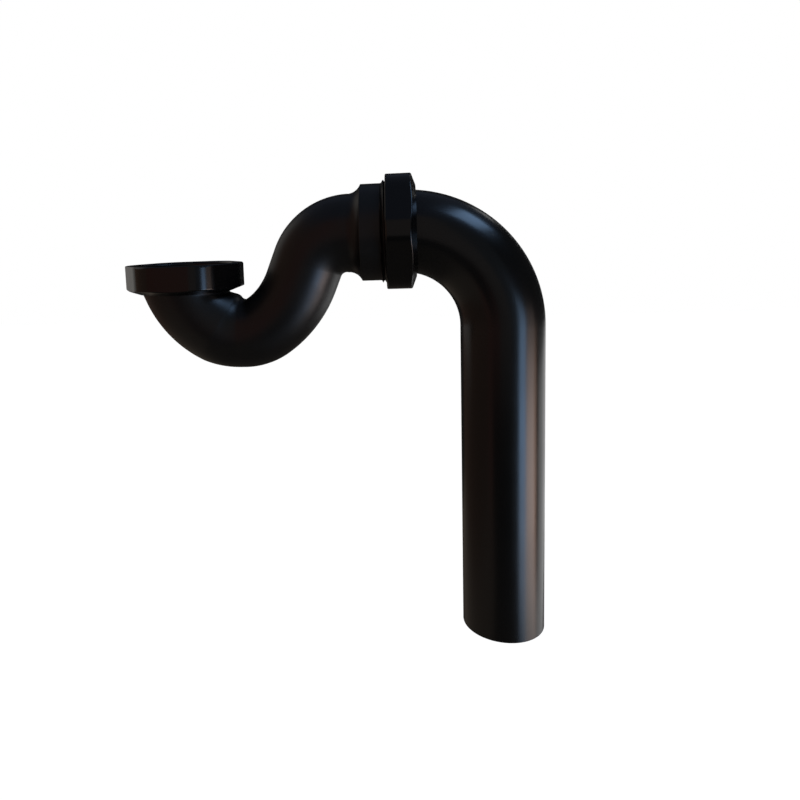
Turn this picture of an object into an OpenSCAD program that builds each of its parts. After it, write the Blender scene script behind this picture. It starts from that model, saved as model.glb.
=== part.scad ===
// Shallow bath trap with a swept tail pipe.
// The inlet's axis is Z, the outlet's axis runs along X, and the origin is where the bath waste
// seats: the middle of the inlet washer's top face. All sizes are in millimetres.

/* [Union threads] */
// Major diameter of the pipe thread on the socket and in both nuts
thread_d = 47.8; // [46:0.1:52]
// Radial play between a nut's bore and the thread inside it
thread_play = 0.1; // [0.05:0.05:0.3]

/* [Union nuts] */
// Width of the inlet nut across its flats
inlet_nut_af = 53.5; // [52:0.5:60]
// Width of the outlet nut across its flats
outlet_nut_af = 52; // [51:0.5:60]
// Length of a nut along its axis
nut_h = 13.6; // [12:0.1:20]
// Thickness of a nut's end wall
nut_end = 2.7; // [2:0.1:4]
// Radius that rounds a nut's six corners
nut_corner_r = 13.5; // [8:0.5:16]
// Slope of the dome on a nut's closed end, in degrees
nut_dome_angle = 20; // [10:1:30]
// Width of the flat rim round the hole in a nut's end wall
nut_rim = 0.6; // [0.3:0.1:1.5]
// Break on a nut's corners at the open end
nut_break = 0.8; // [0.4:0.1:1.5]
// Radial gap round what sits in the plain bore below a nut's thread
nut_plain_gap = 0.3; // [0.2:0.05:0.4]
// Length of the plain bore below the outlet nut's thread
nut_runout = 2; // [0.5:0.1:2.2]
// Turn of the inlet nut about its own axis, in degrees
inlet_nut_turn = 4; // [0:1:60]

/* [Inlet] */
// Outer radius of the bowl where it meets the inlet flange
bowl_r = 21; // [20:0.1:21.4]
// Width by which the inlet flange stands out from the bowl
flange_lip = 1.3; // [1:0.05:1.5]
// Break on the flange's edges
flange_break = 0.4; // [0.2:0.1:0.8]
// Thickness of the inlet flange
flange_h = 2.4; // [1.5:0.1:3.5]
// Thickness of the flat inlet washer
washer_h = 3; // [1.5:0.1:4]
// Width by which the washer lies inside the flange's edge
washer_inset = 0.1; // [0:0.05:0.5]
// Gap between the flange and the end wall of the nut under it
flange_gap = 0.1; // [0.05:0.05:0.5]
// Radial gap between the bowl's neck and the hole in the inlet nut
neck_gap = 0.4; // [0.3:0.1:0.7]
// Length of the neck below the flange
neck_l = 1.5; // [1:0.1:3]
// Straight length of the tube between the neck and the bowl's bend
bowl_lead = 0.7; // [0.5:0.1:3]

/* [Trap bend] */
// Wall of the trap's moulding
trap_wall = 2.7; // [2:0.1:3.5]
// Outer radius of the tube at the bottom of the bend
bottom_r = 15.8; // [14:0.1:17]
// Power of the bowl's taper towards the bottom, where 1 is an even taper
bowl_taper = 1.5; // [1:0.1:2]
// Outer radius of the tube at the top of the rising leg
leg_r = 17; // [15.5:0.1:18]
// Outer radius of the tube where it enters the socket
crest_r = 18.2; // [16.5:0.1:18.5]
// Slope of the flow as it leaves the inlet, in degrees below level
inlet_angle = 67; // [60:1:75]
// Turn of the flow, in degrees, that passes before the bowl's level section begins to turn
bowl_hold_angle = 2.5; // [2:0.5:5]
// Bend radius of the bowl
bowl_bend_r = 41; // [38:0.5:50]
// Slope, below level, at which the bowl turns into the bottom bend
bowl_end_angle = 30; // [20:1:40]
// Bend radius at the bottom of the trap
bottom_bend_r = 21; // [18.5:0.5:26]
// Height of the blend that fills the crotch between the bowl and the rising leg
crotch_fill = 2.3; // [0:0.1:3]
// Slope of the flow where that blend is highest
crotch_angle = -10; // [-20:1:0]
// Turn of the flow over which the blend rises, and over which it falls
crotch_reach = 55; // [40:1:60]
// Slope at which the bottom bend turns into the rising leg
leg_start_angle = 34; // [25:1:45]
// Bend radius of the rising leg
leg_bend_r = 48.5; // [40:0.5:60]
// Steepest slope of the rising leg
leg_angle = 68; // [60:1:72]
// Straight length at the top of the rising leg
leg_l = 9; // [2:0.5:16]
// Bend radius of the crest
crest_bend_r = 21; // [20:0.5:30]

/* [Outlet socket] */
// Outer diameter of the plain collar, which is also the thread's root
collar_d = 44.8; // [44:0.1:46]
// Radius that blends the tube into the collar
collar_fillet = 7; // [5:0.5:9]
// Length of the plain collar
collar_l = 8.4; // [6:0.1:14]
// Chamfer at each end of the outside thread
thread_chamfer = 0.8; // [0.4:0.1:1.2]
// Length of the threaded end
thread_l = 11; // [9:0.1:16]
// Radial gap between the tail pipe and the socket
socket_gap = 0.3; // [0.2:0.05:0.5]
// Gap between the pipe's inner end and the stop in the socket
stop_gap = 1.5; // [0.5:0.1:4]

/* [Tail pipe] */
// Outer diameter of the tail pipe
pipe_d = 38; // [37:0.1:38.4]
// Wall of the tail pipe
pipe_wall = 2.2; // [1.6:0.1:3]
// Bend radius of the tail pipe
pipe_bend_r = 44.5; // [42:0.5:70]
// Straight length of the pipe inside the socket
spigot_l = 17; // [15:0.5:19]
// Straight length of the tail below the bend
tail_l = 146; // [60:1:300]
// Length by which the closed end of the outlet nut passes the start of the bend
nut_reach = 5.8; // [4:0.1:6]
// Radial gap between the tail pipe and the hole in the outlet nut
nut_hole_gap = 1.4; // [1.3:0.05:1.6]

/* [Seal] */
// Thickness of the slip ring
ring_h = 1; // [0.8:0.1:1.5]
// Radial gap between the tail pipe and the slip ring
ring_hole_gap = 0.6; // [0.5:0.1:0.9]
// Thickness of the seal's flange
seal_flange_h = 1.1; // [0.8:0.1:1.5]
// Length of the seal's tapered nose
seal_nose_l = 3.6; // [2.5:0.1:4.5]
// Depth of the bevel in the socket's mouth
bevel_h = 4.4; // [3.5:0.1:5]
// Depth of the bevel across the socket's wall
bevel_w = 2.2; // [1.5:0.1:2.4]
// Gap between the seal's nose and the bevel
seal_gap = 0.15; // [0.1:0.05:0.3]
// Radial gap between the seal and the tail pipe
seal_grip = 0.08; // [0.02:0.01:0.09]
// Chamfer at the outer end of the seal's bore, where the tail pipe begins to bend
seal_lead = 0.4; // [0.2:0.1:0.6]
// Play on each side of the seal and the slip ring along the pipe
stack_gap = 0.1; // [0.05:0.05:0.2]

/* [Hidden] */

$fn = 96;
ring_sides = 40;
bend_step = 6;
corner_steps = 10;
// Depth by which the turned ends lie inside the swept tube's wall, and the length of that overlap
embed = 0.2;
overlap_l = 1;

black = "#17181a";
nut_black = "#101113";
rubber_black = "#232323";
ring_white = "#d8d6cf";

thread_r = thread_d / 2;
pipe_r = pipe_d / 2;
collar_r = collar_d / 2;
nut_bore_r = thread_r + thread_play;
flange_r = bowl_r + flange_lip;

// Heights below the seat, from the washer down to the start of the bowl's bend
flange_top_z = -washer_h;
flange_low_z = flange_top_z - flange_h;
nut_low_z = flange_low_z - flange_gap - nut_end;
neck_low_z = flange_low_z - neck_l;
neck_r = bowl_r + embed;
bowl_z = neck_low_z - bowl_lead;

// The trap's centreline, as the flow runs: [bend radius or straight length, slope in, slope out].
// A slope is above level in degrees, a positive radius turns upwards, a negative one downwards.
flow = [
    [bowl_bend_r, -inlet_angle, -bowl_end_angle],
    [bottom_bend_r, -bowl_end_angle, leg_start_angle],
    [leg_bend_r, leg_start_angle, leg_angle],
    [leg_l, leg_angle, leg_angle],
    [-crest_bend_r, leg_angle, 0]
];

function is_straight(run) = run[1] == run[2];

// The point that lies a share t of the way along a run which starts at p
function along(p, run, t) =
    let (slope = run[1] + (run[2] - run[1]) * t)
    is_straight(run)
        ? p + run[0] * t * [cos(slope), sin(slope)]
        : p + run[0] * [sin(slope) - sin(run[1]), cos(run[1]) - cos(slope)];

// The tube's outer radius: wide at the inlet, narrowest at the bottom, wider again at the socket
function tube_r(run, slope) =
    slope < 0 ? bottom_r + (bowl_r - bottom_r) * pow(-slope / inlet_angle, bowl_taper)
    : run[0] < 0 ? leg_r + (crest_r - leg_r) * (1 - slope / leg_angle)
    : bottom_r + (leg_r - bottom_r) * slope / leg_angle;

// The section is level at the inlet, and for a short way below it, so that the bowl clears the nut. Then
// it turns evenly until it is square with the flow, and it stays square from there on, so that the tight
// inner side of the bottom bend never folds.
function section_slope(slope) =
    let (turn = inlet_angle - bowl_hold_angle - bowl_end_angle,
         left = min(1, (-slope - bowl_end_angle) / turn))
    slope < -bowl_end_angle ? -bowl_end_angle - left * (90 - bowl_end_angle) : slope;

// The height by which the blend in the crotch raises the tube's inner side. The crest has none.
function fill_h(run, slope) =
    let (share = (slope - crotch_angle) / crotch_reach)
    run[0] < 0 || abs(share) > 1 ? 0 : crotch_fill * (1 + cos(180 * share)) / 2;

function steps(run) = is_straight(run) ? 1 : ceil(abs(run[2] - run[1]) / bend_step);

// A section is [place in the XZ plane, slope of its normal, outer radius, height of the crotch's blend]
function sections(p, i = 0) =
    i == len(flow) ? [] :
    let (run = flow[i], n = steps(run))
    concat(
        [for (k = [1 : n])
            let (t = k / n, slope = run[1] + (run[2] - run[1]) * t)
            [along(p, run, t), section_slope(slope), tube_r(run, slope), fill_h(run, slope)]],
        sections(along(p, run, 1), i + 1)
    );

function end_of(p, i = 0) = i == len(flow) ? p : end_of(along(p, flow[i], 1), i + 1);

inlet_point = [0, bowl_z];
crest_end = end_of(inlet_point);

// Places along the outlet's axis
outlet_z = crest_end[1];
collar_x = crest_end[0] + collar_fillet;
thread_x = collar_x + collar_l;
mouth_x = thread_x + thread_l;
seal_x = mouth_x + stack_gap;
ring_x = seal_x + seal_flange_h + stack_gap;
nut_end_x = ring_x + ring_h + stack_gap + nut_end;
bend_x = nut_end_x - nut_reach;
spigot_x = bend_x - spigot_l;
stop_x = spigot_x - stop_gap;
tail_x = bend_x + pipe_bend_r;

// Turns a shape drawn along Z so that it runs along the outlet's axis
module on_outlet(x) translate([x, 0, outlet_z]) rotate([0, 90, 0]) children();

// One ring of points round a section. It bulges by the height of fill towards the bend's inner side.
function ring(s, r, fill = 0) =
    [for (k = [0 : ring_sides - 1])
        let (a = 360 * k / ring_sides, d = r + fill * pow(max(0, -cos(a)), 2))
        [s[0][0] + d * cos(a) * sin(s[1]), d * sin(a), s[0][1] - d * cos(a) * cos(s[1])]];

// The triangles between two rings of points, which start at a and b
function band(a, b) =
    [for (k = [0 : ring_sides - 1])
        let (m = (k + 1) % ring_sides)
        each [[a + k, b + k, b + m], [a + k, b + m, a + m]]];

// The wall of the whole bend, swept through its sections as one closed skin
module bend_wall() {
    inlet = [inlet_point, -90, bowl_r, 0];
    lead_in = [[0, neck_low_z + overlap_l], -90, bowl_r, 0];
    lead_out = [[collar_x - overlap_l, outlet_z], 0, crest_r, 0];
    stations = concat([lead_in, inlet], sections(inlet_point), [lead_out]);
    n = len(stations);
    outer = [for (s = stations) each ring(s, s[2], s[3])];
    inner = [for (s = stations) each ring(s, s[2] - trap_wall)];
    bore = n * ring_sides;
    polyhedron(
        points = concat(outer, inner),
        faces = concat(
            [for (i = [0 : n - 2]) each band(i * ring_sides, (i + 1) * ring_sides)],
            [for (i = [0 : n - 2]) each band(bore + (i + 1) * ring_sides, bore + i * ring_sides)],
            band(bore, 0),
            band((n - 1) * ring_sides, bore + (n - 1) * ring_sides)
        )
    );
}

// The flange that the washer lies on, and the neck that passes through the nut
module inlet_flange() {
    bore_r = bowl_r - trap_wall - embed;
    rotate_extrude()
        polygon([
            [bore_r + flange_break, flange_top_z], [flange_r - flange_break, flange_top_z],
            [flange_r, flange_top_z - flange_break], [flange_r, flange_low_z],
            [neck_r, flange_low_z], [neck_r, neck_low_z],
            [bore_r, neck_low_z], [bore_r, flange_top_z - flange_break]
        ]);
}

// The socket: a hollow blend out of the tube, the plain collar and the threaded end
module outlet_socket() {
    tube_bore_r = crest_r - trap_wall - embed;
    socket_r = pipe_r + socket_gap;
    blend_r = crest_r - embed;
    start_x = collar_x - collar_fillet;
    rise = collar_r - blend_r;
    last = acos(max(0, 1 - rise / collar_fillet));
    on_outlet(0) rotate_extrude()
        polygon(concat(
            [[tube_bore_r, start_x]],
            [for (k = [0 : 6])
                let (a = last * k / 6)
                [blend_r + collar_fillet * (1 - cos(a)), start_x + collar_fillet * sin(a)]],
            [
                [collar_r, collar_x], [collar_r, thread_x], [thread_r, thread_x + thread_chamfer],
                [thread_r, mouth_x - thread_chamfer], [collar_r, mouth_x],
                [socket_r + bevel_w, mouth_x], [socket_r, mouth_x - bevel_h],
                [socket_r, stop_x], [tube_bore_r, stop_x]
            ]
        ));
}

module trap_body() {
    color(black) union() {
        inlet_flange();
        bend_wall();
        outlet_socket();
    }
}

module inlet_washer() {
    color(rubber_black)
        translate([0, 0, -washer_h])
            difference() {
                cylinder(r = flange_r - washer_inset, h = washer_h);
                translate([0, 0, -washer_h]) cylinder(r = bowl_r - trap_wall, h = washer_h * 3);
            }
}

// Distance from a nut's axis to the centre of the arc that rounds each of its corners
function corner_centre(af) = (af - 2 * nut_corner_r) / sqrt(3);

// A hexagon of the given width across its flats, with its corners rounded
function hexagon(af) =
    [for (corner = [0 : 60 : 300]) for (k = [0 : corner_steps])
        let (turn = corner - 30 + 60 * k / corner_steps)
        corner_centre(af) * [cos(corner), sin(corner)] + nut_corner_r * [cos(turn), sin(turn)]];

// A union nut, drawn with its closed end down at z = 0: a hexagon under a turned dome, with a hole through
// its end wall, a plain bore above that, and then the bore of the thread
module union_nut(af, hole_r, plain_r, plain_h) {
    reach_r = corner_centre(af) + nut_corner_r;
    flat_r = hole_r + nut_rim;
    difference() {
        intersection() {
            linear_extrude(height = nut_h) polygon(hexagon(af));
            rotate_extrude()
                polygon([
                    [0, 0], [flat_r, 0], [reach_r, (reach_r - flat_r) * tan(nut_dome_angle)],
                    [reach_r, nut_h - nut_break], [reach_r - nut_break, nut_h], [0, nut_h]
                ]);
        }
        translate([0, 0, nut_end + plain_h]) cylinder(r = nut_bore_r, h = nut_h);
        translate([0, 0, nut_end]) cylinder(r = plain_r, h = nut_h);
        translate([0, 0, -nut_end]) cylinder(r = hole_r, h = nut_h);
    }
}

// The inlet nut's thread begins level with the seat, where the bath waste's thread ends
module inlet_nut() {
    color(nut_black)
        translate([0, 0, nut_low_z])
            rotate([0, 0, inlet_nut_turn])
                union_nut(inlet_nut_af, neck_r + neck_gap, flange_r + nut_plain_gap, -nut_low_z - nut_end);
}

module outlet_nut() {
    color(nut_black)
        on_outlet(nut_end_x) rotate([0, 0, 30]) mirror([0, 0, 1])
            union_nut(outlet_nut_af, pipe_r + nut_hole_gap, collar_r + nut_plain_gap, nut_runout);
}

module outlet_slip_ring() {
    color(ring_white)
        on_outlet(ring_x)
            difference() {
                cylinder(r = collar_r, h = ring_h);
                translate([0, 0, -ring_h]) cylinder(r = pipe_r + ring_hole_gap, h = ring_h * 3);
            }
}

// The seal's nose follows the bevel in the socket's mouth at a constant gap
module outlet_seal() {
    slope = bevel_w / bevel_h;
    mouth_r = pipe_r + socket_gap + bevel_w - seal_gap;
    color(rubber_black)
        on_outlet(seal_x) rotate_extrude()
            polygon([
                [pipe_r + seal_grip, -seal_nose_l],
                [mouth_r - slope * seal_nose_l, -seal_nose_l],
                [mouth_r, 0],
                [collar_r, 0],
                [collar_r, seal_flange_h],
                [pipe_r + seal_grip + seal_lead, seal_flange_h],
                [pipe_r + seal_grip, seal_flange_h - seal_lead]
            ]);
}

// The cut across the tail pipe's wall
module pipe_section() {
    difference() {
        circle(r = pipe_r);
        circle(r = pipe_r - pipe_wall);
    }
}

// The tail pipe, placed by the centre of its bend: a straight spigot, a swept bend and a long straight
// tail, open right through
module outlet_pipe() {
    color(black) translate([bend_x, 0, outlet_z - pipe_bend_r]) union() {
        translate([-spigot_l, 0, pipe_bend_r]) rotate([0, 90, 0])
            linear_extrude(height = spigot_l) pipe_section();
        rotate([90, 0, 0])
            rotate_extrude(angle = 90) translate([pipe_bend_r, 0]) pipe_section();
        translate([pipe_bend_r, 0, -tail_l]) linear_extrude(height = tail_l) pipe_section();
    }
}

trap_body();
inlet_washer();
inlet_nut();
outlet_nut();
outlet_slip_ring();
outlet_seal();
outlet_pipe();
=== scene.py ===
# %% [markdown]
# # A shallow bath trap in black plastic
# The imported CAD model gives every body, node and joint of the trap. This file keeps their places and
# dresses them: each solid gets a finer skin with rounded edges, threads and a parting line, and a
# material made for its own plastic or rubber. The first cell loads the model.

# %% Load the imported model
import math

import bmesh
import bpy
import numpy as np
from mathutils import Matrix, Vector


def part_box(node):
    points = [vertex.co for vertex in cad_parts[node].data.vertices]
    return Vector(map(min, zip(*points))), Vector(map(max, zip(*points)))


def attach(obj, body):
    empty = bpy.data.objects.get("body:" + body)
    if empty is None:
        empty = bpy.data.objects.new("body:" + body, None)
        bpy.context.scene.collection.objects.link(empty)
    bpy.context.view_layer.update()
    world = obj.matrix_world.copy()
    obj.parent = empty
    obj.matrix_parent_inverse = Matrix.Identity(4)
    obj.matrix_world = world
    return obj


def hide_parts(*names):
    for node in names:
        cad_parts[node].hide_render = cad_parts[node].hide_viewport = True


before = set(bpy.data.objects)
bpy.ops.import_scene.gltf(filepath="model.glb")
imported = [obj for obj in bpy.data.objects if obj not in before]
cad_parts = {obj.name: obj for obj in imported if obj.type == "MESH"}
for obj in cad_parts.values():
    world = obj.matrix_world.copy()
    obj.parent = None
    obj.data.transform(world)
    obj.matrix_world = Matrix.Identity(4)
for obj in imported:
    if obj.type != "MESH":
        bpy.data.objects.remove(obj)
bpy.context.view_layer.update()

MM = 0.001

# %% [markdown]
# # The sizes
# A few sizes can be read from the boxes of the solids, such as where the tail pipe runs and ends. The
# rest are the part's own driving sizes, in millimetres. They are repeated here, because a finer skin has
# to follow the same bends, walls and gaps as the solid that it stands for.

# %% Sizes read from the frame, in millimetres
pipe_r = 19.0
pipe_low, pipe_high = (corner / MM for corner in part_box("outlet_pipe"))
tail_x = pipe_high.x - pipe_r
outlet_z = pipe_high.z - pipe_r
spigot_x = pipe_low.x
tail_end_z = pipe_low.z
mouth_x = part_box("trap_body")[1].x / MM
nut_end_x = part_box("outlet_nut")[1].x / MM
nut_low_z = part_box("inlet_nut")[0].z / MM
seal_low_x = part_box("outlet_seal")[0].x / MM
ring_low_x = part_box("outlet_slip_ring")[0].x / MM
print(f"tail axis x {tail_x:.2f}, outlet axis z {outlet_z:.2f}, socket's mouth x {mouth_x:.2f}")

# %% Driving sizes of the part, in millimetres and degrees
thread_r, thread_pitch, thread_depth = 23.9, 2.309, 1.48
pipe_wall, pipe_bend_r = 2.2, 44.5
trap_wall, bowl_r, bottom_r, leg_r, crest_r = 2.7, 21.0, 15.8, 17.0, 18.2
bowl_taper = 1.5
inlet_angle, bowl_end_angle, leg_start_angle, leg_angle = 67.0, 30.0, 34.0, 68.0
bowl_hold_angle = 2.5
crotch_fill, crotch_angle, crotch_reach = 2.3, -10.0, 55.0
bowl_bend_r, bottom_bend_r, leg_bend_r, leg_l, crest_bend_r = 41.0, 21.0, 48.5, 9.0, 21.0
washer_h, flange_h, flange_lip, neck_l, bowl_lead = 3.0, 2.4, 1.3, 1.5, 0.7
collar_r, collar_fillet, collar_l, thread_l = 22.4, 7.0, 8.4, 11.0
thread_chamfer = 0.8
socket_gap, bevel_h, bevel_w, stop_gap = 0.3, 4.4, 2.2, 1.5
nut_h, nut_end, nut_corner_r, nut_dome_angle = 13.6, 2.7, 13.5, 20.0
nut_rim, nut_break, nut_plain_gap = 0.6, 0.8, 0.3
inlet_nut_af, outlet_nut_af, inlet_nut_turn = 53.5, 52.0, 4.0
neck_gap, nut_hole_gap, nut_runout, thread_play = 0.4, 1.4, 2.0, 0.1
ring_h, ring_hole_gap = 1.0, 0.6
seal_flange_h, seal_nose_l, seal_gap, seal_grip, seal_lead = 1.1, 3.6, 0.15, 0.08, 0.4

flange_top_z = -washer_h
flange_low_z = flange_top_z - flange_h
neck_low_z = flange_low_z - neck_l
neck_r = bowl_r + 0.2
flange_r = bowl_r + flange_lip
socket_r = pipe_r + socket_gap
nut_bore_r = thread_r + thread_play
stop_x = spigot_x - stop_gap
thread_x = mouth_x - thread_l
collar_x = thread_x - collar_l

# %% [markdown]
# # Helpers for skins
# Every moulding here is drawn as a loop of rings: a cut through the wall is walked round once, outside
# and inside, and each point of it becomes one ring. Such a skin is closed by itself, so it has a real
# wall and no stray faces. A moulding never has a knife edge, so the corners of the cut are first
# replaced with small arcs, which is what catches a thin line of light along every rim.

# %% Helpers: rounding a cut, and closing a skin
def rounded(corners, steps=4, hold=0.4):
    """Replaces the corners of a closed outline with arcs. A corner is (place, place, radius of its arc)."""
    points = []
    places = [np.array(corner[:2], float) for corner in corners]
    for i, (here, corner) in enumerate(zip(places, corners)):
        back, ahead = places[i - 1] - here, places[(i + 1) % len(places)] - here
        room = min(np.linalg.norm(back), np.linalg.norm(ahead))
        radius = corner[2]
        if radius == 0:
            points.append(here)
            continue
        back, ahead = back / np.linalg.norm(back), ahead / np.linalg.norm(ahead)
        half = 0.5 * math.acos(np.clip(back @ ahead, -1, 1))
        cut = min(radius / math.tan(half), 0.45 * room)
        centre = here + (back + ahead) / np.linalg.norm(back + ahead) * cut / math.cos(half)
        reach = cut * math.tan(half)
        start, end = here + back * cut - centre, here + ahead * cut - centre
        first = math.atan2(start[1], start[0])
        sweep = (math.atan2(end[1], end[0]) - first + math.pi) % (2 * math.pi) - math.pi
        margin = min(hold, 0.45 * room - cut) if cut < 0.4 * room else 0
        if margin > 0:
            points.append(here + back * (cut + margin))
        for k in range(steps + 1):
            angle = first + sweep * k / steps
            points.append(centre + reach * np.array([math.cos(angle), math.sin(angle)]))
        if margin > 0:
            points.append(here + ahead * (cut + margin))
    return np.array(points)


def closed_skin(name, rings, sharp=40):
    """Makes a mesh object from a loop of rings of points in millimetres, with its faces turned outwards."""
    rings = np.asarray(rings, float) * MM
    count, sides = rings.shape[:2]
    i, k = np.meshgrid(np.arange(count), np.arange(sides), indexing="ij")
    here, ahead = i * sides, (i + 1) % count * sides
    faces = np.stack([here + k, here + (k + 1) % sides, ahead + (k + 1) % sides, ahead + k], -1)
    faces = faces.reshape(-1, 4)
    points = rings.reshape(-1, 3)
    a, b, c, d = (points[faces[:, n]] for n in range(4))
    if np.einsum("ij,ij->", a, np.cross(b, c) + np.cross(c, d)) < 0:
        faces = faces[:, ::-1]
    mesh = bpy.data.meshes.new(name)
    mesh.from_pydata(points.tolist(), [], faces.tolist())
    merged = bmesh.new()
    merged.from_mesh(mesh)
    bmesh.ops.remove_doubles(merged, verts=merged.verts, dist=0.002 * MM)
    merged.to_mesh(mesh)
    merged.free()
    mesh.shade_smooth()
    mesh.set_sharp_from_angle(angle=math.radians(sharp))
    piece = bpy.data.objects.new(name, mesh)
    bpy.context.scene.collection.objects.link(piece)
    print(f"{name}: {len(mesh.vertices)} points, {len(mesh.polygons)} faces")
    return piece


# %% Helpers: the two axes, and the form of a thread
def about_inlet(outline, angles):
    """Turns an outline of (height, radius) points about the inlet's axis."""
    z, r = outline[:, 0, None], outline[:, 1, None]
    return np.stack([r * np.cos(angles), r * np.sin(angles), z + 0 * angles], -1)


def about_outlet(outline, angles):
    """Turns an outline of (place along the outlet, radius) points about the outlet's axis."""
    x, r = outline[:, 0, None], outline[:, 1, None]
    return np.stack([x + 0 * angles, r * np.sin(angles), outlet_z - r * np.cos(angles)], -1)


def thread_form(turns):
    """Height of a pipe thread's flank, from 0 at the root to 1 at the crest, both a little rounded."""
    flank = 1 - np.abs(2 * (turns % 1) - 1)
    return 0.5 * flank + 0.5 * (0.5 - 0.5 * np.cos(math.pi * flank))


def even_angles(sides):
    return np.arange(sides) * 2 * math.pi / sides


# %% [markdown]
# # The trap's body
# The real body is one moulding: a flange that the washer lies on, a bowl, a tight U bend that keeps the
# water seal, a rising leg, a crest and a threaded socket. It could be cut out of many cylinders, but its
# bore narrows and widens on the way, so a sweep through turned sections is the honest form. The rings
# lie closer together at the two places where the mould's halves met, which leaves room for the fine
# raised parting line that such a moulding has along its top and bottom.

# %% The centreline of the bend, from the inlet down and up to the socket
def bend_runs():
    """Radius or straight length, and the flow's slope in and out, for each stretch of the bend."""
    return [
        (bowl_bend_r, -inlet_angle, -bowl_end_angle),
        (bottom_bend_r, -bowl_end_angle, leg_start_angle),
        (leg_bend_r, leg_start_angle, leg_angle),
        (leg_l, leg_angle, leg_angle),
        (-crest_bend_r, leg_angle, 0.0),
    ]


def tube_radius(run, slope):
    if slope < 0:
        return bottom_r + (bowl_r - bottom_r) * (-slope / inlet_angle) ** bowl_taper
    if run[0] < 0:
        return leg_r + (crest_r - leg_r) * (1 - slope / leg_angle)
    return bottom_r + (leg_r - bottom_r) * slope / leg_angle


def section_slope(slope):
    if slope >= -bowl_end_angle:
        return slope
    left = (-slope - bowl_end_angle) / (inlet_angle - bowl_hold_angle - bowl_end_angle)
    return -bowl_end_angle - min(1, left) * (90 - bowl_end_angle)


def fill_height(run, slope):
    """Height by which the crotch between the bowl and the leg is filled, on the bend's inner side."""
    share = (slope - crotch_angle) / crotch_reach
    if run[0] < 0 or abs(share) > 1:
        return 0.0
    return crotch_fill * (1 + math.cos(math.pi * share)) / 2


def bend_stations(step=2.0):
    """Sections of the bend as (x, z, slope of the section, outer radius, height of the crotch's fill)."""
    x, z = 0.0, neck_low_z - bowl_lead
    stations = [(x, z, -90.0, bowl_r, 0.0)]
    for run in bend_runs():
        size, slope_in, slope_out = run
        straight = slope_in == slope_out
        count = 3 if straight else math.ceil(abs(slope_out - slope_in) / step)
        for k in range(1, count + 1):
            slope = slope_in + (slope_out - slope_in) * k / count
            a, b = math.radians(slope_in), math.radians(slope)
            if straight:
                place = (x + size * k / count * math.cos(a), z + size * k / count * math.sin(a))
            else:
                place = (x + size * (math.sin(b) - math.sin(a)), z + size * (math.cos(a) - math.cos(b)))
            stations.append((*place, section_slope(slope), tube_radius(run, slope), fill_height(run, slope)))
        x, z = place
    return np.array(stations)


bend = bend_stations()
print(f"bend: {len(bend)} sections, ends {bend[-1, 0]:.2f} mm out and {bend[-1, 1]:.2f} mm up")
print(f"distance from the solid's outlet axis: {abs(bend[-1, 1] - outlet_z):.3f} mm")

# %% The angles of the rings, closer together at the parting line
parting_ridge, parting_width = 0.12, 0.8
near_line = [0.0, 0.45, 0.9, 1.5, 2.6]
half_turn = near_line + list(np.linspace(5.5, 174.5, 58)) + [180 - a for a in near_line[::-1]]
trap_angles = np.radians(half_turn + [360 - a for a in half_turn[-2:0:-1]])
from_line = np.degrees(np.minimum(np.abs(np.sin(trap_angles / 2)), np.abs(np.cos(trap_angles / 2))) * 2)
parting = parting_ridge * np.exp(-((from_line / parting_width) ** 2))


def bend_rings(stations, inset, ridge, filled):
    """Rings round the bend's sections, inset from the outer radius, with a ridge at the parting line."""
    x, z, slope, r, fill = (stations[:, n, None] for n in range(5))
    slope = np.radians(slope)
    r = r - inset + ridge + filled * fill * np.clip(-np.cos(trap_angles), 0, 1) ** 2
    side = r * np.cos(trap_angles)
    return np.stack([x + side * np.sin(slope), r * np.sin(trap_angles), z - side * np.cos(slope)], -1)


# %% The trap's inlet end, its socket with the outside thread, and its skin
def inlet_outline():
    """Outside of the flange and the neck, as (height, radius), from the bore's rim downwards."""
    bore_r = bowl_r - trap_wall
    corners = [(neck_low_z, bore_r, 0), (flange_top_z, bore_r, 0.4), (flange_top_z, flange_r, 0.4),
               (flange_low_z, flange_r, 0.2), (flange_low_z, neck_r, 0.3), (neck_low_z, neck_r, 0.0)]
    return rounded(corners)[1:]


def collar_outline():
    """The blend out of the tube and the plain collar, as (place, radius), up to the thread."""
    start_x = collar_x - collar_fillet
    last = math.acos(1 - (collar_r - crest_r) / collar_fillet)
    blend = [(start_x + collar_fillet * math.sin(a), crest_r + collar_fillet * (1 - math.cos(a)))
             for a in np.linspace(0, last, 14)[1:-1]]
    edge_x = start_x + collar_fillet * math.sin(last)
    edge = rounded([(blend[-1][0], blend[-1][1], 0), (edge_x, collar_r, 0.3),
                    (thread_x, collar_r, 0), (thread_x, 0, 0)])
    return np.array(blend[:-1] + [tuple(point) for point in edge[:-1]])


def thread_rings():
    """The outside thread: a crest that winds round the collar's end and fades at both of its ends."""
    places = np.linspace(thread_x, mouth_x, 76)[1:]
    turns = places[:, None] / thread_pitch - trap_angles / (2 * math.pi)
    r = collar_r + (thread_r - collar_r) * thread_form(turns)
    ends = np.minimum(places - thread_x, mouth_x - places)[:, None] / thread_chamfer
    r = np.minimum(r, collar_r + (thread_r - collar_r) * np.clip(ends, 0, 1))
    x = places[:, None] + 0 * r
    return np.stack([x, r * np.sin(trap_angles), outlet_z - r * np.cos(trap_angles)], -1)


def socket_outline():
    """The mouth's bevel, the socket's bore and its stop, as (place, radius), from the mouth inwards."""
    tube_bore_r = crest_r - trap_wall
    corners = [(mouth_x, collar_r, 0), (mouth_x, socket_r + bevel_w, 0.2), (mouth_x - bevel_h, socket_r, 0.3),
               (stop_x, socket_r, 0.2), (stop_x, tube_bore_r, 0.3), (collar_x - collar_fillet, tube_bore_r, 0)]
    return rounded(corners)[1:-1]


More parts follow.
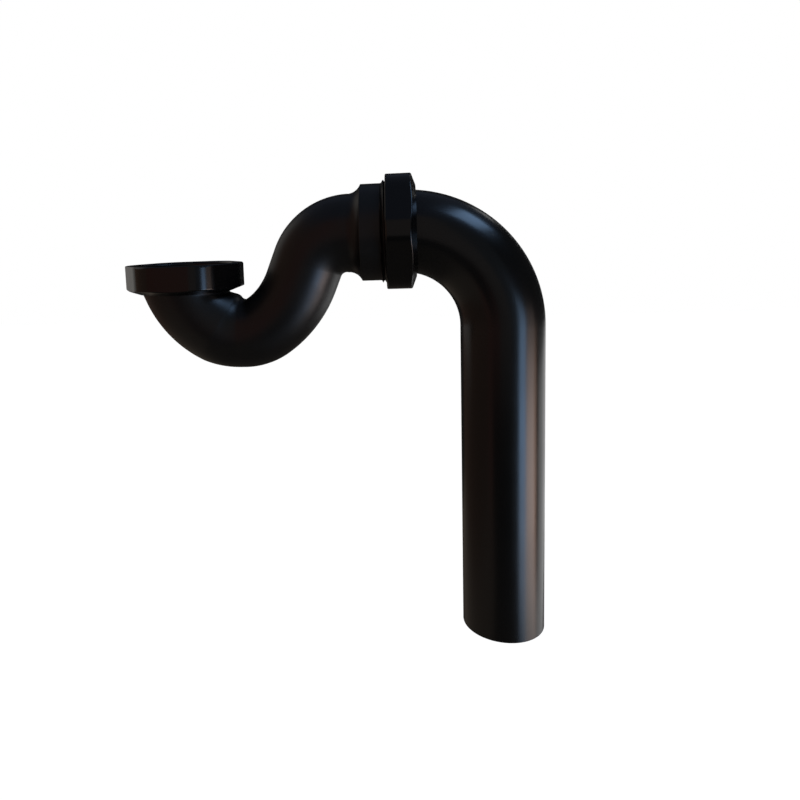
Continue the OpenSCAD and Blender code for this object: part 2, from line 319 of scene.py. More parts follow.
def make_trap():
    rings = [
        about_inlet(inlet_outline(), math.pi - trap_angles),
        bend_rings(bend, 0, parting, filled=1),
        about_outlet(collar_outline(), trap_angles),
        thread_rings(),
        about_outlet(socket_outline(), trap_angles),
        bend_rings(bend[::-1], trap_wall, 0, filled=0),
    ]
    return closed_skin("trap_moulding", np.concatenate(rings))


trap = make_trap()

# %% [markdown]
# # The two union nuts
# Both nuts are hexagons with generously rounded corners and a shallow dome on the closed end, so that
# the dome and the six flats meet in a scalloped line. A hexagon could be cut with a cone, but then the
# scalloped edge stays sharp. Here each direction round the nut gets its own cut through the wall, whose
# corners lie exactly on that line and are rounded, and the cuts are joined into one skin.

# %% The cut through a nut's wall, in every direction round it
def hexagon_radius(af, turn):
    """Radius of a hexagon with rounded corners, in the direction turn, where 0 points at a corner."""
    centre = (af - 2 * nut_corner_r) / math.sqrt(3)
    turn = abs((turn + math.pi / 6) % (math.pi / 3) - math.pi / 6)
    reach = math.radians(30)
    arc_end = math.atan2(nut_corner_r * math.sin(reach), centre + nut_corner_r * math.cos(reach))
    if turn > arc_end:
        return af / 2 / math.cos(reach - turn)
    return centre * math.cos(turn) + math.sqrt(nut_corner_r**2 - (centre * math.sin(turn)) ** 2)


def nut_cut(af, hole_r, plain_r, plain_h, turn):
    """One cut through a nut's wall as (height above the closed end, radius)."""
    # The solid's rounded corners are coarser polygons, and the skin stays inside them by a hair
    outside_r = hexagon_radius(af, turn) - 0.01
    reach_r = hexagon_radius(af, 0) - 0.01
    flat_r = hole_r + nut_rim
    dome_h = (outside_r - flat_r) * math.tan(math.radians(nut_dome_angle))
    top_break = max(0.35, outside_r - (reach_r - nut_break))
    lead = 0.8
    corners = [
        (0, hole_r, 0.25), (0, flat_r, 0.2), (dome_h, outside_r, 0.45),
        (nut_h - top_break, outside_r, 0.1), (nut_h, outside_r - top_break, 0.1),
        (nut_h, nut_bore_r + lead, 0.15), (nut_h - lead, nut_bore_r, 0.15),
        (nut_end + plain_h, nut_bore_r, 0.15), (nut_end + plain_h, plain_r, 0.15),
        (nut_end, plain_r, 0.2), (nut_end, hole_r, 0.25),
    ]
    return rounded(corners, steps=3, hold=0.3)


def nut_rings(af, hole_r, plain_r, plain_h, sides=252):
    """The cuts of a nut in its own frame, as rings of (across, across, along)."""
    turns = even_angles(sides)
    cuts = np.array([nut_cut(af, hole_r, plain_r, plain_h, turn) for turn in turns])
    along, r = cuts[:, :, 0].T, cuts[:, :, 1].T
    return np.stack([r * np.cos(turns), r * np.sin(turns), along], -1)


# %% Both nuts in their places
def make_inlet_nut():
    rings = nut_rings(inlet_nut_af, neck_r + neck_gap, flange_r + nut_plain_gap, -nut_low_z - nut_end)
    turn = math.radians(inlet_nut_turn)
    x, y, z = rings[..., 0], rings[..., 1], rings[..., 2]
    placed = [x * math.cos(turn) - y * math.sin(turn), x * math.sin(turn) + y * math.cos(turn), z + nut_low_z]
    return closed_skin("inlet_nut_moulding", np.stack(placed, -1))


def make_outlet_nut():
    rings = nut_rings(outlet_nut_af, pipe_r + nut_hole_gap, collar_r + nut_plain_gap, nut_runout)
    across, beside, along = rings[..., 0], rings[..., 1], rings[..., 2]
    return closed_skin("outlet_nut_moulding", np.stack([nut_end_x - along, across, outlet_z + beside], -1))


inlet_nut = make_inlet_nut()
outlet_nut = make_outlet_nut()

# %% [markdown]
# # Geometry Nodes: sockets, values and one helper
# A node tree is a recipe that Blender runs again whenever a size changes. One helper adds any node, for
# a shader or for geometry: it sets the node's own properties, and gives each of its inputs either a
# value or the output that feeds it. A second helper runs the finished recipe once and keeps its result
# as a plain mesh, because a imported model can't carry a live recipe.

# %% Helpers for node trees
def add(tree, kind, inputs=None, **settings):
    """Adds one node. An input is given as a value, or as the output socket that it is linked to."""
    node = tree.nodes.new(kind)
    for name, value in settings.items():
        setattr(node, name, value)
    for key, value in (inputs or {}).items():
        if isinstance(value, bpy.types.NodeSocket):
            tree.links.new(value, node.inputs[key])
        else:
            node.inputs[key].default_value = value
    return node


def new_recipe(name, sizes):
    """A geometry tree with one named input for each size, and the node that gives them."""
    tree = bpy.data.node_groups.new(name, "GeometryNodeTree")
    for size in sizes:
        kind = "NodeSocketInt" if isinstance(sizes[size], int) else "NodeSocketFloat"
        tree.interface.new_socket(size, in_out="INPUT", socket_type=kind)
    tree.interface.new_socket("Material", in_out="INPUT", socket_type="NodeSocketMaterial")
    tree.interface.new_socket("Geometry", in_out="OUTPUT", socket_type="NodeSocketGeometry")
    return tree, add(tree, "NodeGroupInput").outputs


def end_recipe(tree, mesh, given):
    """Every recipe ends alike: real geometry with smooth shading, and its material."""
    smooth = add(tree, "GeometryNodeSetShadeSmooth", {"Geometry": mesh})
    real = add(tree, "GeometryNodeRealizeInstances", {"Geometry": smooth.outputs[0]})
    painted = add(tree, "GeometryNodeSetMaterial", {"Geometry": real.outputs[0], "Material": given["Material"]})
    add(tree, "NodeGroupOutput", {"Geometry": painted.outputs[0]})


def run_recipe(name, tree, sizes, material, wall=0, edge=0):
    """Runs a recipe with its sizes set, gives the skin a wall and broken edges if asked, and keeps the mesh."""
    carrier = bpy.data.objects.new(name + "_recipe", bpy.data.meshes.new(name))
    bpy.context.scene.collection.objects.link(carrier)
    recipe = carrier.modifiers.new("recipe", "NODES")
    recipe.node_group = tree
    for item in tree.interface.items_tree:
        if item.in_out == "INPUT":
            recipe[item.identifier] = material if item.name == "Material" else sizes[item.name]
    if wall:
        shell = carrier.modifiers.new("wall", "SOLIDIFY")
        shell.thickness, shell.offset = wall, -1
    if edge:
        rim = carrier.modifiers.new("rim", "BEVEL")
        rim.width, rim.segments, rim.limit_method = edge, 3, "ANGLE"
        rim.angle_limit = math.radians(60)
        rim.harden_normals = True
    evaluated = carrier.evaluated_get(bpy.context.evaluated_depsgraph_get())
    mesh = bpy.data.meshes.new_from_object(evaluated)
    piece = bpy.data.objects.new(name, mesh)
    bpy.context.scene.collection.objects.link(piece)
    carrier.modifiers.clear()
    bpy.data.objects.remove(carrier)
    print(f"{name}: {len(mesh.vertices)} points, {len(mesh.polygons)} faces")
    return piece


# %% [markdown]
# # Materials: what the trap is made of
# Waste fittings are moulded from polypropylene, and their straight tails are extruded from it. Carbon
# black makes them so dark that almost all one sees is reflection: how wide and how soft the highlights
# are tells the eye that this is satin plastic and not paint or metal. So the colours below are nearly
# equal, and the roughness and the fine relief make the difference between the pieces.

# %% Helpers for materials
def linear(code):
    """Turns an sRGB hex colour into the linear colour that the shader takes."""
    channels = [int(code[n:n + 2], 16) / 255 for n in (1, 3, 5)]
    return (*[c / 12.92 if c <= 0.04045 else ((c + 0.055) / 1.055) ** 2.4 for c in channels], 1)


def per_metre(size_mm):
    """Scale of a noise whose features are about this many millimetres across."""
    return 1 / (size_mm * MM)


def new_material(name):
    """An empty material, its tree, and the object's own coordinates in metres."""
    material = bpy.data.materials.new(name)
    material.use_nodes = True
    material.node_tree.nodes.clear()
    place = add(material.node_tree, "ShaderNodeTexCoord").outputs["Object"]
    return material, material.node_tree, place


def varied(tree, place, size_mm, low, high, detail=2.0):
    """A number that drifts between low and high over the surface, in patches of the given size."""
    noise = add(tree, "ShaderNodeTexNoise", {"Vector": place, "Scale": per_metre(size_mm), "Detail": detail})
    spread = add(tree, "ShaderNodeMapRange", {"Value": noise.outputs["Fac"], "From Min": 0.3,
                                              "From Max": 0.7, "To Min": low, "To Max": high})
    return spread.outputs["Result"]


def dusted(tree, place, colour, spacing_mm=7.0, grain_mm=0.16):
    """The plastic's colour with a few pale grains of dust, which a black surface always shows."""
    cells = add(tree, "ShaderNodeTexVoronoi", {"Vector": place, "Scale": per_metre(spacing_mm)})
    grain = add(tree, "ShaderNodeMath", {0: cells.outputs["Distance"], 1: grain_mm / spacing_mm},
                operation="LESS_THAN")
    kept = add(tree, "ShaderNodeMath", {0: cells.outputs["Color"], 1: 0.62}, operation="GREATER_THAN")
    both = add(tree, "ShaderNodeMath", {0: grain.outputs[0], 1: kept.outputs[0]}, operation="MULTIPLY")
    mixed = add(tree, "ShaderNodeMix", {"Factor": both.outputs[0], "A": linear(colour), "B": linear("#6f6c68")},
                data_type="RGBA")
    return mixed.outputs["Result"]


def relief(tree, height, depth_mm, below=None):
    """Fine relief of the given depth, on top of another relief if there is one."""
    inputs = {"Height": height, "Distance": depth_mm * MM, "Strength": 1.0}
    if below is not None:
        inputs["Normal"] = below
    return add(tree, "ShaderNodeBump", inputs).outputs["Normal"]


def plastic(tree, colour, roughness, normal, ior=1.49):
    """The shader that all the black pieces share, and the material's output."""
    shader = add(tree, "ShaderNodeBsdfPrincipled", {"Base Color": colour, "Roughness": roughness,
                                                    "Normal": normal, "IOR": ior})
    add(tree, "ShaderNodeOutputMaterial", {"Surface": shader.outputs["BSDF"]})


# %% Moulded polypropylene: the trap's body
# Satin and a little mottled, because the melt freezes unevenly against a spark-eroded mould.
def moulded_polypropylene():
    material, tree, place = new_material("moulded_polypropylene")
    # The mould's grain is about 0.1 mm, and is drawn at 0.45 mm so that it shows at all
    grain = add(tree, "ShaderNodeTexNoise", {"Vector": place, "Scale": per_metre(0.45), "Detail": 3.0})
    waves = add(tree, "ShaderNodeTexNoise", {"Vector": place, "Scale": per_metre(9.0), "Detail": 1.0})
    normal = relief(tree, grain.outputs["Fac"], 0.006, relief(tree, waves.outputs["Fac"], 0.05))
    plastic(tree, dusted(tree, place, "#060606"), varied(tree, place, 14.0, 0.34, 0.42), normal)
    return material


# %% Extruded polypropylene: the tail pipe
# Smoother than a moulding, with faint lines along it that the die left in the soft tube. The lines
# follow the bend, so they read the pipe's own attributes: the place round it and the length along it.
def extruded_polypropylene():
    material, tree, place = new_material("extruded_polypropylene")
    around = add(tree, "ShaderNodeAttribute", attribute_name="around").outputs["Vector"]
    along = add(tree, "ShaderNodeAttribute", attribute_name="along").outputs["Fac"]
    parts = add(tree, "ShaderNodeSeparateXYZ", {"Vector": around})
    slow = add(tree, "ShaderNodeMath", {0: along, 1: 0.015}, operation="MULTIPLY")
    laid_straight = add(tree, "ShaderNodeCombineXYZ", {"X": parts.outputs["X"], "Y": parts.outputs["Y"],
                                                       "Z": slow.outputs[0]})
    # Die lines are some hundredths of a millimetre wide, and are drawn at 0.9 mm so that they show
    lines = add(tree, "ShaderNodeTexNoise", {"Vector": laid_straight.outputs[0], "Scale": per_metre(0.9),
                                             "Detail": 3.0})
    normal = relief(tree, lines.outputs["Fac"], 0.006)
    plastic(tree, dusted(tree, place, "#060606"), varied(tree, place, 30.0, 0.22, 0.27), normal)
    return material


# %% Nut polypropylene: moulded in a polished tool
# Glossier than the body, so the flats show clear, dark reflections and the rounded corners bright ones.
def nut_polypropylene():
    material, tree, place = new_material("nut_polypropylene")
    waves = add(tree, "ShaderNodeTexNoise", {"Vector": place, "Scale": per_metre(6.0), "Detail": 1.0})
    normal = relief(tree, waves.outputs["Fac"], 0.02)
    plastic(tree, dusted(tree, place, "#040404"), varied(tree, place, 10.0, 0.17, 0.23), normal)
    return material


# %% Seal rubber: the washer and the tapered seal
# Moulded rubber is matt and slightly grey with bloom, so it shows almost no highlight at all.
def seal_rubber():
    material, tree, place = new_material("seal_rubber")
    bloom = varied(tree, place, 4.0, 0.0, 1.0)
    colour = add(tree, "ShaderNodeMix", {"Factor": bloom, "A": linear("#1b1b1b"), "B": linear("#262624")},
                 data_type="RGBA")
    grain = add(tree, "ShaderNodeTexNoise", {"Vector": place, "Scale": per_metre(0.4), "Detail": 2.0})
    normal = relief(tree, grain.outputs["Fac"], 0.01)
    plastic(tree, colour.outputs["Result"], varied(tree, place, 5.0, 0.66, 0.78), normal, ior=1.52)
    return material


# %% Natural polyethylene: the slip ring
# Unpigmented and waxy, so light passes a little way into it. It lies hidden inside the outlet nut.
def natural_polyethylene():
    material, tree, place = new_material("natural_polyethylene")
    waves = add(tree, "ShaderNodeTexNoise", {"Vector": place, "Scale": per_metre(3.0), "Detail": 1.0})
    shader = add(tree, "ShaderNodeBsdfPrincipled", {
        "Base Color": linear("#d8d6cf"), "Roughness": varied(tree, place, 5.0, 0.38, 0.46), "IOR": 1.51,
        "Subsurface Weight": 0.3, "Subsurface Scale": 0.8 * MM,
        "Normal": relief(tree, waves.outputs["Fac"], 0.02)})
    add(tree, "ShaderNodeOutputMaterial", {"Surface": shader.outputs["BSDF"]})
    return material


body_plastic = moulded_polypropylene()
pipe_plastic = extruded_polypropylene()
nut_plastic = nut_polypropylene()
rubber = seal_rubber()
polyethylene = natural_polyethylene()
print("materials:", len(bpy.data.materials))

# %% [markdown]
# # The tail pipe
# The real tail is a straight tube that was heated and bent once. Its path has only three corners: the
# end inside the socket, the place where both straights would meet, and the cut end. The recipe draws
# that path, rounds the middle corner to the bend's radius and sweeps a circle along it. It also stores
# how far along and where round the tube each point lies, for the die lines. A wall and two broken edges
# finish it, as a saw and a scraper leave them.

# %% The tail pipe, swept by Geometry Nodes
def pipe_recipe(sizes):
    tree, given = new_recipe("bent_tube", sizes)
    index = add(tree, "GeometryNodeInputIndex").outputs[0]
    past_start = add(tree, "ShaderNodeMath", {0: index, 1: 0.5}, operation="GREATER_THAN").outputs[0]
    past_corner = add(tree, "ShaderNodeMath", {0: index, 1: 1.5}, operation="GREATER_THAN").outputs[0]
    x = add(tree, "ShaderNodeMath", {0: past_start, 1: given["Reach"], 2: given["Start X"]},
            operation="MULTIPLY_ADD").outputs[0]
    z = add(tree, "ShaderNodeMath", {0: past_corner, 1: given["Drop"], 2: given["Start Z"]},
            operation="MULTIPLY_ADD").outputs[0]
    corner = add(tree, "ShaderNodeCombineXYZ", {"X": x, "Z": z}).outputs[0]
    points = add(tree, "GeometryNodeMeshLine", {"Count": 3}).outputs[0]
    placed = add(tree, "GeometryNodeSetPosition", {"Geometry": points, "Position": corner}).outputs[0]
    path = add(tree, "GeometryNodeMeshToCurve", {"Mesh": placed}).outputs[0]
    bent = add(tree, "GeometryNodeFilletCurve", {"Curve": path, "Count": given["Bend steps"],
                                                 "Radius": given["Bend radius"]}, mode="POLY").outputs[0]
    length = add(tree, "GeometryNodeSplineParameter").outputs["Length"]
    marked = add(tree, "GeometryNodeStoreNamedAttribute", {"Geometry": bent, "Name": "along", "Value": length},
                 data_type="FLOAT", domain="POINT").outputs[0]
    circle = add(tree, "GeometryNodeCurvePrimitiveCircle", {"Resolution": given["Sides"],
                                                            "Radius": given["Radius"]}).outputs[0]
    place = add(tree, "GeometryNodeInputPosition").outputs[0]
    ring = add(tree, "GeometryNodeStoreNamedAttribute", {"Geometry": circle, "Name": "around", "Value": place},
               data_type="FLOAT_VECTOR", domain="POINT").outputs[0]
    swept = add(tree, "GeometryNodeCurveToMesh", {"Curve": marked, "Profile Curve": ring}).outputs[0]
    end_recipe(tree, swept, given)
    return tree


pipe_sizes = {
    "Start X": spigot_x * MM, "Start Z": outlet_z * MM, "Reach": (tail_x - spigot_x) * MM,
    "Drop": (tail_end_z - outlet_z) * MM, "Bend radius": pipe_bend_r * MM, "Radius": pipe_r * MM,
    "Bend steps": 60, "Sides": 144,
}
tail_pipe = run_recipe("tail_pipe_tube", pipe_recipe(pipe_sizes), pipe_sizes, pipe_plastic,
                       wall=pipe_wall * MM, edge=0.35 * MM)

# %% [markdown]
# # The thread in the inlet nut
# The bath waste screws into the inlet nut, and looking down into it one sees the thread. A thread is a
# shape that follows a path, so the recipe winds a right-handed helix of the pipe thread's pitch up the
# bore and sweeps a rounded triangle along it. The ridge fades into the bore at both ends, as a moulded
# thread does, and its root lies inside the nut's wall, so that no gap shows.

# %% The inlet nut's thread, wound by Geometry Nodes
def thread_recipe(sizes):
    tree, given = new_recipe("inside_thread", sizes)
    turns = add(tree, "ShaderNodeMath", {0: given["Length"], 1: given["Pitch"]}, operation="DIVIDE").outputs[0]
    helix = add(tree, "GeometryNodeCurveSpiral", {
        "Resolution": given["Steps per turn"], "Rotations": turns, "Start Radius": given["Bore radius"],
        "End Radius": given["Bore radius"], "Height": given["Length"], "Reverse": True}).outputs[0]
    lift = add(tree, "ShaderNodeCombineXYZ", {"Z": given["Start Z"]}).outputs[0]
    raised = add(tree, "GeometryNodeTransform", {"Geometry": helix, "Translation": lift}).outputs[0]
    upright = add(tree, "GeometryNodeSetCurveNormal", {"Curve": raised}, mode="Z_UP").outputs[0]
    # The share of the way along the helix, folded so that it rises from 0 at both ends
    share = add(tree, "GeometryNodeSplineParameter").outputs["Factor"]
    rest = add(tree, "ShaderNodeMath", {0: 1.0, 1: share}, operation="SUBTRACT").outputs[0]
    nearer = add(tree, "ShaderNodeMath", {0: share, 1: rest}, operation="MINIMUM").outputs[0]
    grown = add(tree, "ShaderNodeMapRange", {"Value": nearer, "From Min": 0.0, "From Max": 0.12,
                                             "To Min": 0.08, "To Max": 1.0}).outputs[0]
    triangle = add(tree, "GeometryNodeCurvePrimitiveCircle", {"Resolution": 3,
                                                              "Radius": given["Ridge size"]}).outputs[0]
    softened = add(tree, "GeometryNodeFilletCurve", {"Curve": triangle, "Count": 3,
                                                     "Radius": given["Crest radius"]}, mode="POLY").outputs[0]
    ridge = add(tree, "GeometryNodeCurveToMesh", {"Curve": upright, "Profile Curve": softened,
                                                  "Scale": grown, "Fill Caps": True}).outputs[0]
    end_recipe(tree, ridge, given)
    return tree


thread_sizes = {
    "Bore radius": (nut_bore_r - 0.35) * MM, "Start Z": 0.6 * MM, "Length": 4.0 * MM,
    "Pitch": thread_pitch * MM, "Ridge size": 1.05 * MM, "Crest radius": 0.22 * MM, "Steps per turn": 144,
}
inlet_thread = run_recipe("inlet_nut_thread", thread_recipe(thread_sizes), thread_sizes, nut_plastic)

# %% [markdown]
# # The washer, the slip ring and the seal
# Three turned pieces make the joints tight: a flat rubber washer on the inlet's flange, and inside the
# outlet nut a hard slip ring that presses a tapered rubber seal into the socket's bevel. Each is a
# simple ring, so its cut is drawn once, its corners are rounded as a moulding's are, and it is turned
# about its axis.

# %% The three rings
def make_washer():
    corners = [(-washer_h, bowl_r - trap_wall, 0.25), (-washer_h, flange_r - 0.1, 0.25),
               (0, flange_r - 0.1, 0.25), (0, bowl_r - trap_wall, 0.25)]
    return closed_skin("inlet_washer_rubber", about_inlet(rounded(corners), even_angles(128)))


def make_slip_ring():
    corners = [(ring_low_x, pipe_r + ring_hole_gap, 0.12), (ring_low_x, collar_r, 0.12),
               (ring_low_x + ring_h, collar_r, 0.12), (ring_low_x + ring_h, pipe_r + ring_hole_gap, 0.12)]
    return closed_skin("slip_ring_hard", about_outlet(rounded(corners), even_angles(128)))


def make_seal():
    face_x = seal_low_x + seal_nose_l
    mouth_r = socket_r + bevel_w - seal_gap
    nose_r = mouth_r - bevel_w / bevel_h * seal_nose_l
    inner_r = pipe_r + seal_grip
    corners = [(seal_low_x, inner_r, 0.1), (seal_low_x, nose_r, 0.15), (face_x, mouth_r, 0.2),
               (face_x, collar_r, 0.2), (face_x + seal_flange_h, collar_r, 0.2),
               (face_x + seal_flange_h, inner_r + seal_lead, 0.1),
               (face_x + seal_flange_h - seal_lead, inner_r, 0.1)]
    return closed_skin("tapered_seal_rubber", about_outlet(rounded(corners), even_angles(128)))


washer = make_washer()
slip_ring = make_slip_ring()
seal = make_seal()

# %% [markdown]
# # Which piece moves with which body
# The imported model knows five movements: the inlet nut turns, the outlet nut turns and so pushes the slip
# ring along its thread, and the tail pipe swivels and slides in its seal. A piece only has to ride on
# the right body. Each one also says which solid it stands for, and which material of the record it shows.

# %% Ride and replace
dressed = [
    (trap, "trap", "trap_body", "moulded_black", body_plastic),
    (washer, "trap", "inlet_washer", "seal_rubber", rubber),
    (inlet_nut, "inlet_nut", "inlet_nut", "nut_black", nut_plastic),
    (outlet_nut, "outlet_nut", "outlet_nut", "nut_black", nut_plastic),
    (slip_ring, "slip_ring", "outlet_slip_ring", "ring_plastic", polyethylene),
    (seal, "seal", "outlet_seal", "seal_rubber", rubber),
    (tail_pipe, "tail_pipe", "outlet_pipe", "pipe_black", pipe_plastic),
]
for piece, body, node, slot, material in dressed:
    piece.data.materials.clear()
    piece.data.materials.append(material)
    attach(piece, body)
    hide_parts(node)
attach(inlet_thread, "inlet_nut")
print("pieces:", ", ".join(piece.name for piece, *_ in dressed), "and", inlet_thread.name)

# %% [markdown]
# # The camera
# The photograph was taken from a little above the outlet and from close by, so the tail's lower end is
# seen from above and the pipe narrows downwards. The camera stands in front of the start of the tail's
# bend, at the distance and with the tilt that make all the outlines meet, and a small lens shift puts
# the trap where the photograph has it in its frame.

# %% The camera at the photograph's viewing angle
sensor_mm, image_px = 36.0, 800
focal_px, middle_px = 681.4, (312.2, 316.7)
pitch, yaw, roll = (math.radians(a) for a in (7.07, 7.82, -2.13))
bend_centre = Vector((tail_x - pipe_bend_r, 0, outlet_z - pipe_bend_r))
camera_place = (bend_centre + Vector((0, -321.0, 45.67))) * MM

lens = bpy.data.cameras.new("photo_camera")
lens.sensor_width = sensor_mm
lens.lens = focal_px / image_px * sensor_mm
lens.shift_x = (image_px / 2 - middle_px[0]) / image_px
lens.shift_y = (middle_px[1] - image_px / 2) / image_px
lens.clip_start = 0.01
camera = bpy.data.objects.new("photo_camera", lens)
bpy.context.scene.collection.objects.link(camera)
bpy.context.scene.camera = camera
# Rows of this matrix are the image's right, down and forward directions
level = Matrix(((1, 0, 0), (0, 0, -1), (0, 1, 0)))
aim = Matrix.Rotation(roll, 3, "Z") @ Matrix.Rotation(pitch, 3, "X") @ Matrix.Rotation(yaw, 3, "Y") @ level
turned = (Matrix.Diagonal((1, -1, -1)) @ aim).transposed().to_4x4()
camera.matrix_world = Matrix.Translation(camera_place) @ turned
print(f"lens {lens.lens:.2f} mm, shift {lens.shift_x:.3f}, {lens.shift_y:.3f}")

# %% [markdown]
# # The studio
# Black plastic is lit by what it mirrors. The floor and the far background are white, and they show as
# thin pale rims where one looks along the surface. Three tall soft boxes stand side by side on the
# right, cool to warm, and draw the long highlight down the tail, and a fourth hangs above the bend.
# A real soft box is brightest near its lamp and fades away from it, and so do these.
# Dark panels, which photographers call flags, keep the rest of the room out of the plastic. They are
# seen by reflections alone, so they take no light away from the floor.

# %% The floor and the white surroundings
def unit_lift(tree, amount):
    """A strength that counts only for rays which should see the white background."""
    path = add(tree, "ShaderNodeLightPath")
    seen = add(tree, "ShaderNodeMath", {0: path.outputs["Is Camera Ray"], 1: path.outputs["Is Glossy Ray"]},
               operation="ADD")
    through = add(tree, "ShaderNodeMath", {0: seen.outputs[0], 1: path.outputs["Is Transmission Ray"]},
                  operation="ADD", use_clamp=True)
    return add(tree, "ShaderNodeMath", {0: through.outputs[0], 1: amount}, operation="MULTIPLY").outputs[0]


def make_floor(height=-0.80, half=6.0):
    mesh = bpy.data.meshes.new("studio_floor")
    mesh.from_pydata([(-half, -half, height), (half, -half, height), (half, half, height),
                      (-half, half, height)], [], [(0, 1, 2, 3)])
    floor = bpy.data.objects.new("studio_floor", mesh)
    bpy.context.scene.collection.objects.link(floor)
    material, tree, _ = new_material("floor_paper")
    shader = add(tree, "ShaderNodeBsdfPrincipled", {
        "Base Color": linear("#f2f2f2"), "Roughness": 0.9, "Specular IOR Level": 0.2,
        "Emission Color": linear("#ffffff"), "Emission Strength": unit_lift(tree, 0.47)})
    add(tree, "ShaderNodeOutputMaterial", {"Surface": shader.outputs["BSDF"]})
    mesh.materials.append(material)
    return floor


ambient = 0.60
world = bpy.data.worlds.new("studio_world")
world.use_nodes = True
world.node_tree.nodes.clear()
lift = unit_lift(world.node_tree, 1 - ambient)
strength = add(world.node_tree, "ShaderNodeMath", {0: lift, 1: ambient}, operation="ADD").outputs[0]
white = add(world.node_tree, "ShaderNodeBackground", {"Color": linear("#ffffff"), "Strength": strength})
add(world.node_tree, "ShaderNodeOutputWorld", {"Surface": white.outputs[0]})
bpy.context.scene.world = world
studio_floor = make_floor()

# %% The soft boxes, placed by the direction in which the tail pipe mirrors them
def towards(azimuth, elevation):
    """Direction from the pipe: azimuth is to the right of the camera's side, elevation above level."""
    a, e = math.radians(azimuth), math.radians(elevation)
    return Vector((math.sin(a) * math.cos(e), -math.cos(a) * math.cos(e), math.sin(e)))


def soft_box(name, azimuth, elevation, width, height, colour, radiance, foot=1.0, head=1.0, distance=0.75):
    """A rectangular lamp that faces the pipe, its size in degrees. It fades to its foot and its head."""
    lamp = bpy.data.lights.new(name, "AREA")
    lamp.shape = "RECTANGLE"
    lamp.size = 2 * distance * math.tan(math.radians(width / 2))
    lamp.size_y = 2 * distance * math.tan(math.radians(height / 2))
    lamp.color = colour
    lamp.energy = radiance * math.pi * lamp.size * lamp.size_y
    lamp.use_nodes = True
    tree = lamp.node_tree
    tree.nodes.clear()
    place = add(tree, "ShaderNodeNewGeometry").outputs["Parametric"]
    rise = add(tree, "ShaderNodeSeparateXYZ", {"Vector": place}).outputs["Y"]
    low_fade = add(tree, "ShaderNodeMapRange", {"Value": rise, "From Max": 0.5, "To Min": foot})
    high_fade = add(tree, "ShaderNodeMapRange", {"Value": rise, "From Min": 0.5, "To Min": 1.0, "To Max": head})
    level = add(tree, "ShaderNodeMath", {0: low_fade.outputs["Result"], 1: high_fade.outputs["Result"]},
                operation="MULTIPLY")
    glow = add(tree, "ShaderNodeEmission", {"Strength": level.outputs[0]})
    add(tree, "ShaderNodeOutputLight", {"Surface": glow.outputs[0]})
    holder = bpy.data.objects.new(name, lamp)
    bpy.context.scene.collection.objects.link(holder)
    direction = towards(azimuth, elevation)
    turn = (direction).to_track_quat("Z", "Y")
    holder.matrix_world = Matrix.Translation(pipe_middle + direction * distance) @ turn.to_matrix().to_4x4()
    holder.visible_camera = False
    return holder


pipe_middle = Vector((tail_x, 0, -90)) * MM
lamps = [
    soft_box("cool_box", 46.5, -15.5, 19, 43, (0.40, 0.64, 1.0), 5.4, foot=0.12, head=0.45),
    soft_box("neutral_box", 71, -21, 26, 32, (1.0, 0.79, 0.72), 5.3, foot=0.15, head=0.5),
    soft_box("spill_box", 71, 1.9, 26, 6.9, (1.0, 0.79, 0.72), 0.7),
    soft_box("warm_box", 88.5, -21, 9, 32, (1.0, 0.62, 0.45), 2.6, foot=0.15, head=0.7),
    soft_box("upper_box", 78, 60, 30, 16, (0.38, 0.62, 1.0), 4.4),
]
print("lamps:", ", ".join(lamp.name for lamp in lamps))

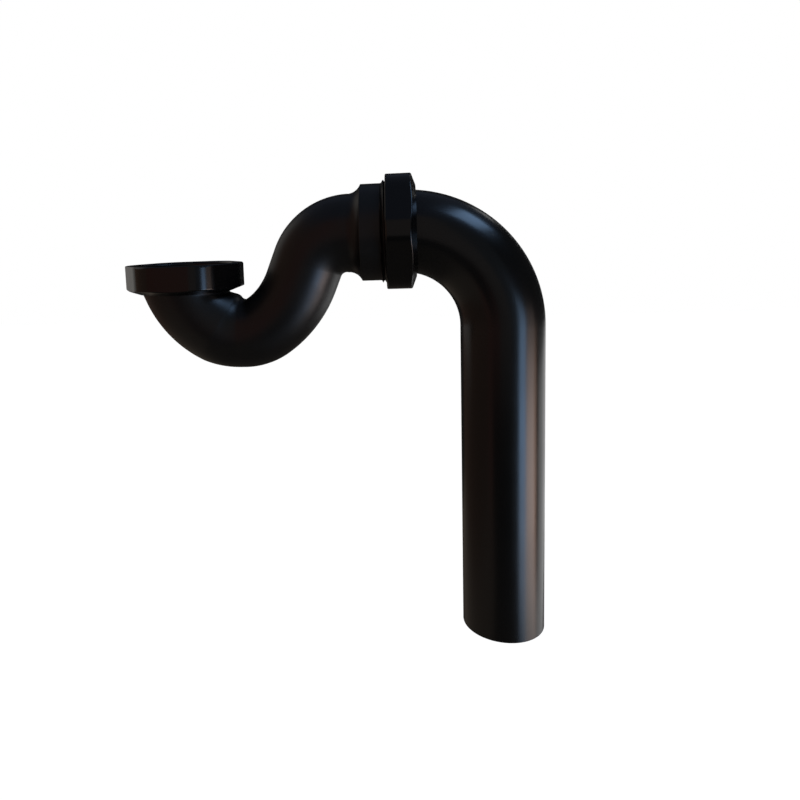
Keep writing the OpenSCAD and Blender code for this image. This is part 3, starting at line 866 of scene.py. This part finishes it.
# %% The flags, which only reflections see
def flag(name, low, high, colour, strength):
    """A dark upright or level panel between two corners, with the faint glow that a room gives back."""
    flat = next(axis for axis in range(3) if low[axis] == high[axis])
    across, up = [axis for axis in range(3) if axis != flat]
    corners = []
    for first, second in ((low, low), (high, low), (high, high), (low, high)):
        corner = list(low)
        corner[across], corner[up] = first[across], second[up]
        corners.append(corner)
    mesh = bpy.data.meshes.new(name)
    mesh.from_pydata(corners, [], [(0, 1, 2, 3)])
    panel = bpy.data.objects.new(name, mesh)
    bpy.context.scene.collection.objects.link(panel)
    material, tree, _ = new_material(name + "_cloth")
    glow = add(tree, "ShaderNodeEmission", {"Color": linear(colour), "Strength": strength})
    add(tree, "ShaderNodeOutputMaterial", {"Surface": glow.outputs[0]})
    mesh.materials.append(material)
    panel.visible_camera = False
    panel.visible_diffuse = False
    panel.visible_transmission = False
    panel.visible_shadow = False
    return panel


left, right, front, back, low, mid, high = -1.1, 1.4, -1.2, 1.5, -0.79, -0.3, 1.2
flags = [
    flag("flag_left_low", (left, front, low), (left, back, mid), "#a08070", 0.35),
    flag("flag_left_near", (left, front, mid), (left, 0.3, high), "#a08070", 0.5),
    flag("flag_left_far", (left, 0.3, mid), (left, back, high), "#a8a4a0", 0.9),
    flag("flag_right_low", (right, front, low), (right, 0.3, mid), "#808080", 0.1),
    flag("flag_right_high", (right, front, mid), (right, 2.4, high), "#808080", 0.1),
    flag("flag_front_left", (left, front, low), (-0.66, front, high), "#a87469", 0.48),
    flag("flag_front_low", (-0.66, front, low), (0.5, front, mid), "#808080", 0.08),
    flag("flag_front_high", (-0.66, front, mid), (-0.12, front, high), "#a87469", 0.5),
    flag("flag_front_middle", (-0.12, front, mid), (0.5, front, high), "#a09894", 0.45),
    flag("flag_front_right", (0.5, front, low), (right, front, high), "#808890", 0.35),
    flag("flag_back_left", (left, back, low), (0.1, back, mid), "#808080", 0.1),
    flag("flag_back_right", (0.1, back, low), (0.9, back, mid), "#909090", 0.8),
    flag("flag_back_high", (left, back, mid), (0.9, back, high), "#808080", 0.1),
    flag("flag_above", (left, front, high), (right, back, high), "#7c88a0", 0.35),
    flag("flag_below_left", (left, front, low), (-0.4, back, low), "#908478", 0.6),
    flag("flag_below_right", (-0.4, front, low), (0.9, back, low), "#807870", 0.25),
]
print("flags:", len(flags))

# %% [markdown]
# Colour management
# The plain Standard view keeps every colour as it is written.

# %% Finish
bpy.context.scene.view_settings.view_transform = "Standard"
